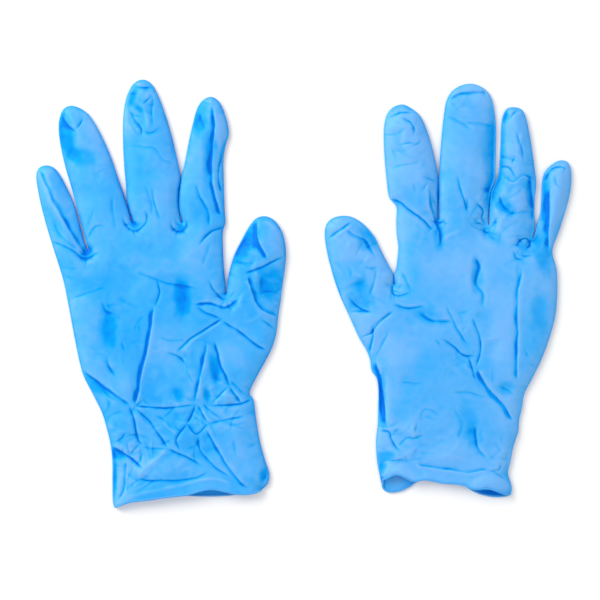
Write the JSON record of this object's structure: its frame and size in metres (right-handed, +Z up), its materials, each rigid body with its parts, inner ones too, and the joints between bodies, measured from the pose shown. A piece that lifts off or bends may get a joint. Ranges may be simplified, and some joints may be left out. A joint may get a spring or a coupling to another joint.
{
  "type": "rubber gloves",
  "caption": "Thin disposable gloves lying flat side by side, with folding fingers, straight short cuffs and a rolled edge at each mouth.",
  "frame": {"origin": "centre of the pair, on the surface that they lie on", "axes": "+Y towards the fingertips, +X towards the glove placed on the right, +Z up off the surface"},
  "size_m": [0.3005, 0.2413, 0.008],
  "materials": {
    "nitrile_film": "satin",
    "nitrile_bead": "satin"
  },
  "bodies": {
    "left_hand": {"left_hand": "nitrile_film"},
    "left_cuff": {"left_cuff": "nitrile_film", "left_cuff_bead": "nitrile_bead"},
    "left_little_base": {"left_little_base": "nitrile_film"},
    "left_little_tip": {"left_little_tip": "nitrile_film"},
    "left_ring_base": {"left_ring_base": "nitrile_film"},
    "left_ring_tip": {"left_ring_tip": "nitrile_film"},
    "left_middle_base": {"left_middle_base": "nitrile_film"},
    "left_middle_tip": {"left_middle_tip": "nitrile_film"},
    "left_index_base": {"left_index_base": "nitrile_film"},
    "left_index_tip": {"left_index_tip": "nitrile_film"},
    "left_thumb_base": {"left_thumb_base": "nitrile_film"},
    "left_thumb_tip": {"left_thumb_tip": "nitrile_film"},
    "right_hand": {"right_hand": "nitrile_film"},
    "right_cuff": {"right_cuff": "nitrile_film", "right_cuff_bead": "nitrile_bead"},
    "right_little_base": {"right_little_base": "nitrile_film"},
    "right_little_tip": {"right_little_tip": "nitrile_film"},
    "right_ring_base": {"right_ring_base": "nitrile_film"},
    "right_ring_tip": {"right_ring_tip": "nitrile_film"},
    "right_middle_base": {"right_middle_base": "nitrile_film"},
    "right_middle_tip": {"right_middle_tip": "nitrile_film"},
    "right_index_base": {"right_index_base": "nitrile_film"},
    "right_index_tip": {"right_index_tip": "nitrile_film"},
    "right_thumb_base": {"right_thumb_base": "nitrile_film"},
    "right_thumb_tip": {"right_thumb_tip": "nitrile_film"}
  },
  "joints": [
    {"name": "left_cuff_fold", "type": "hinge", "parent": "left_hand", "child": "left_cuff", "pos_m": [-0.0736, -0.06085, 0.008], "axis": [-1, 0, 0], "range_deg": [0, 170]},
    {"name": "left_little_base_fold", "type": "hinge", "parent": "left_hand", "child": "left_little_base", "pos_m": [-0.13074, 0.02314, 0.007], "axis": [0.9588, 0.284, 0], "range_deg": [0, 90]},
    {"name": "left_little_tip_fold", "type": "hinge", "parent": "left_little_base", "child": "left_little_tip", "pos_m": [-0.13806, 0.04783, 0.007], "axis": [0.9588, 0.284, 0], "range_deg": [0, 45]},
    {"name": "left_ring_base_fold", "type": "hinge", "parent": "left_hand", "child": "left_ring_base", "pos_m": [-0.11055, 0.03884, 0.007], "axis": [0.9537, 0.3007, 0], "range_deg": [0, 90]},
    {"name": "left_ring_tip_fold", "type": "hinge", "parent": "left_ring_base", "child": "left_ring_tip", "pos_m": [-0.12107, 0.07222, 0.007], "axis": [0.9537, 0.3007, 0], "range_deg": [0, 45]},
    {"name": "left_middle_base_fold", "type": "hinge", "parent": "left_hand", "child": "left_middle_base", "pos_m": [-0.08321, 0.04265, 0.007], "axis": [0.9954, 0.0958, 0], "range_deg": [0, 60]},
    {"name": "left_middle_tip_fold", "type": "hinge", "parent": "left_middle_base", "child": "left_middle_tip", "pos_m": [-0.08698, 0.08172, 0.007], "axis": [0.9954, 0.0958, 0], "range_deg": [0, 45]},
    {"name": "left_index_base_fold", "type": "hinge", "parent": "left_hand", "child": "left_index_base", "pos_m": [-0.05679, 0.04065, 0.007], "axis": [0.9976, -0.0698, 0], "range_deg": [0, 60]},
    {"name": "left_index_tip_fold", "type": "hinge", "parent": "left_index_base", "child": "left_index_tip", "pos_m": [-0.05435, 0.07556, 0.007], "axis": [0.9976, -0.0698, 0], "range_deg": [0, 45]},
    {"name": "left_thumb_base_fold", "type": "hinge", "parent": "left_hand", "child": "left_thumb_base", "pos_m": [-0.02848, -0.00085, 0.007], "axis": [0.9877, -0.1564, 0], "range_deg": [0, 90]},
    {"name": "left_thumb_tip_fold", "type": "hinge", "parent": "left_thumb_base", "child": "left_thumb_tip", "pos_m": [-0.025, 0.02112, 0.007], "axis": [0.9877, -0.1564, 0], "range_deg": [0, 45]},
    {"name": "right_glove_lift", "type": "slide", "parent": "left_hand", "child": "right_hand", "axis": [0, 0, 1], "range_m": [0, 0.1]},
    {"name": "right_cuff_fold", "type": "hinge", "parent": "right_hand", "child": "right_cuff", "pos_m": [0.083, -0.05585, 0.008], "axis": [-1, 0, 0], "range_deg": [0, 170]},
    {"name": "right_little_base_fold", "type": "hinge", "parent": "right_hand", "child": "right_little_base", "pos_m": [0.13633, 0.03115, 0.007], "axis": [0.9816, -0.1908, 0], "range_deg": [0, 90]},
    {"name": "right_little_tip_fold", "type": "hinge", "parent": "right_little_base", "child": "right_little_tip", "pos_m": [0.14053, 0.05274, 0.007], "axis": [0.9816, -0.1908, 0], "range_deg": [0, 45]},
    {"name": "right_ring_base_fold", "type": "hinge", "parent": "right_hand", "child": "right_ring_base", "pos_m": [0.1173, 0.03965, 0.007], "axis": [0.9997, -0.0262, 0], "range_deg": [0, 90]},
    {"name": "right_ring_tip_fold", "type": "hinge", "parent": "right_ring_base", "child": "right_ring_tip", "pos_m": [0.11815, 0.07214, 0.007], "axis": [0.9997, -0.0262, 0], "range_deg": [0, 45]},
    {"name": "right_middle_base_fold", "type": "hinge", "parent": "right_hand", "child": "right_middle_base", "pos_m": [0.09021, 0.04265, 0.007], "axis": [0.999, -0.0436, 0], "range_deg": [0, 60]},
    {"name": "right_middle_tip_fold", "type": "hinge", "parent": "right_middle_base", "child": "right_middle_tip", "pos_m": [0.09186, 0.08061, 0.007], "axis": [0.999, -0.0436, 0], "range_deg": [0, 45]},
    {"name": "right_index_base_fold", "type": "hinge", "parent": "right_hand", "child": "right_index_base", "pos_m": [0.06438, 0.04315, 0.007], "axis": [0.9903, 0.1392, 0], "range_deg": [0, 60]},
    {"name": "right_index_tip_fold", "type": "hinge", "parent": "right_index_base", "child": "right_index_tip", "pos_m": [0.05993, 0.07484, 0.007], "axis": [0.9903, 0.1392, 0], "range_deg": [0, 45]},
    {"name": "right_thumb_base_fold", "type": "hinge", "parent": "right_hand", "child": "right_thumb_base", "pos_m": [0.03545, 0.00164, 0.007], "axis": [0.9511, 0.309, 0], "range_deg": [0, 90]},
    {"name": "right_thumb_tip_fold", "type": "hinge", "parent": "right_thumb_base", "child": "right_thumb_tip", "pos_m": [0.02866, 0.02257, 0.007], "axis": [0.9511, 0.309, 0], "range_deg": [0, 45]}
  ]
}
